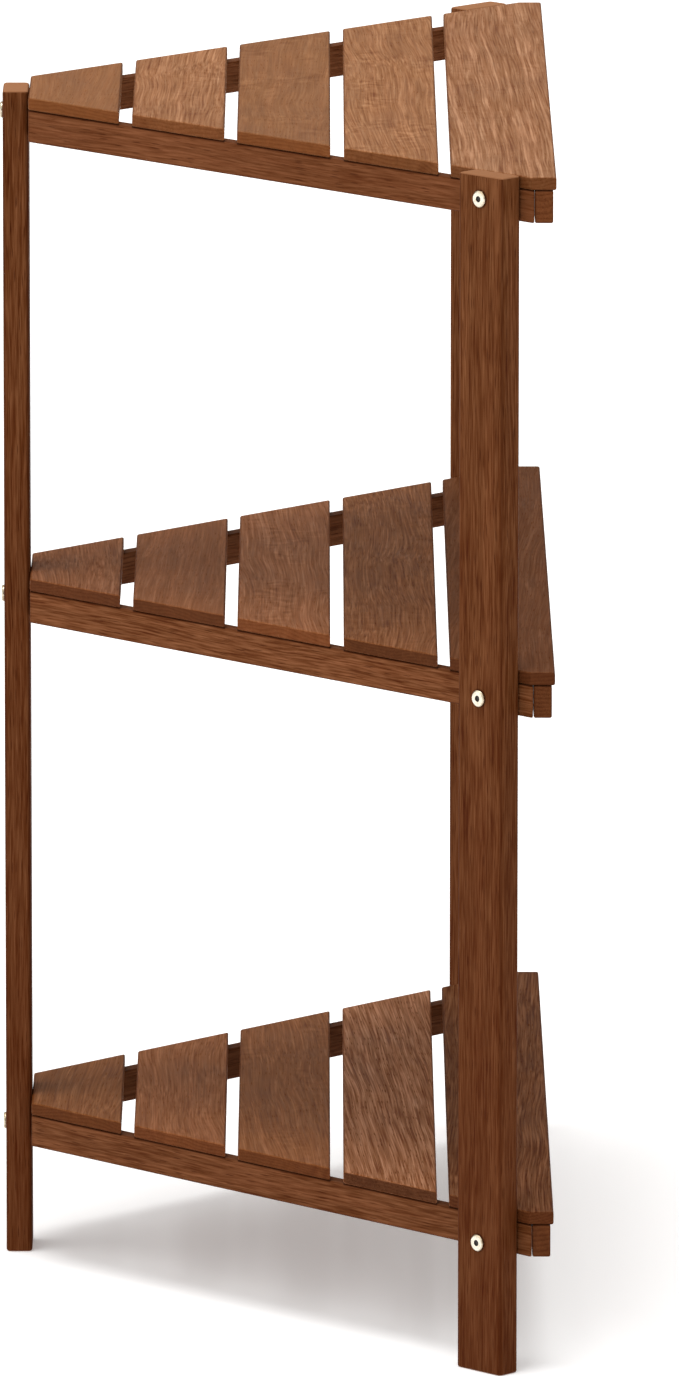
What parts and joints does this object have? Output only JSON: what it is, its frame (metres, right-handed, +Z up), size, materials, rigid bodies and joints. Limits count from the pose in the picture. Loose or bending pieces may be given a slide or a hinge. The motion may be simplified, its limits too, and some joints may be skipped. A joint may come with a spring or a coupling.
{
  "type": "tiered plant stand",
  "caption": "Free-standing triangular corner stand: slatted wooden tiers bolted to flat upright legs, for potted plants.",
  "frame": {"origin": "on the floor, in the middle of the bounding box", "axes": "+Z up; the slats run along X; the front edge faces -Y; the corner leg is at +Y"},
  "size_m": [0.83, 0.3972, 0.86],
  "materials": {
    "leg_wood": "stained hardwood, satin oil, straight grain along the leg",
    "rail_wood": "stained hardwood, satin oil, straight grain along the rail",
    "slat_wood": "stained hardwood, matt oil, figured grain along the slat",
    "slat_wood_upper": "paler stained hardwood, matt oil, figured grain along the slat",
    "bolt_nickel": "nickel-plated, satin",
    "insert_zinc": "yellow zinc-plated",
    "screw_zinc": "zinc-plated"
  },
  "bodies": {
    "root": {"bolt_corner_lower": "bolt_nickel", "bolt_corner_middle": "bolt_nickel", "bolt_corner_upper": "bolt_nickel", "bolt_left_lower": "bolt_nickel", "bolt_left_middle": "bolt_nickel", "bolt_left_upper": "bolt_nickel", "bolt_right_lower": "bolt_nickel", "bolt_right_middle": "bolt_nickel", "bolt_right_upper": "bolt_nickel", "corner_block_lower": "rail_wood", "corner_block_middle": "rail_wood", "corner_block_upper": "rail_wood", "front_rail_lower": "rail_wood", "front_rail_middle": "rail_wood", "front_rail_upper": "rail_wood", "insert_corner_lower": "insert_zinc", "insert_corner_middle": "insert_zinc", "insert_corner_upper": "insert_zinc", "insert_left_lower": "insert_zinc", "insert_left_middle": "insert_zinc", "insert_left_upper": "insert_zinc", "insert_right_lower": "insert_zinc", "insert_right_middle": "insert_zinc", "insert_right_upper": "insert_zinc", "leg_corner": "leg_wood", "leg_left": "leg_wood", "leg_right": "leg_wood", "screw_corner_left_lower": "screw_zinc", "screw_corner_left_middle": "screw_zinc", "screw_corner_left_upper": "screw_zinc", "screw_corner_right_lower": "screw_zinc", "screw_corner_right_middle": "screw_zinc", "screw_corner_right_upper": "screw_zinc", "screw_front_left_lower": "screw_zinc", "screw_front_left_middle": "screw_zinc", "screw_front_left_upper": "screw_zinc", "screw_front_right_lower": "screw_zinc", "screw_front_right_middle": "screw_zinc", "screw_front_right_upper": "screw_zinc", "side_rail_left_lower": "rail_wood", "side_rail_left_middle": "rail_wood", "side_rail_left_upper": "rail_wood", "side_rail_right_lower": "rail_wood", "side_rail_right_middle": "rail_wood", "side_rail_right_upper": "rail_wood", "slat_lower_1": "slat_wood", "slat_lower_2": "slat_wood", "slat_lower_3": "slat_wood", "slat_lower_4": "slat_wood", "slat_lower_5": "slat_wood", "slat_middle_1": "slat_wood", "slat_middle_2": "slat_wood", "slat_middle_3": "slat_wood", "slat_middle_4": "slat_wood", "slat_middle_5": "slat_wood", "slat_upper_1": "slat_wood_upper", "slat_upper_2": "slat_wood_upper", "slat_upper_3": "slat_wood_upper", "slat_upper_4": "slat_wood_upper", "slat_upper_5": "slat_wood_upper"}
  },
  "joints": []
}
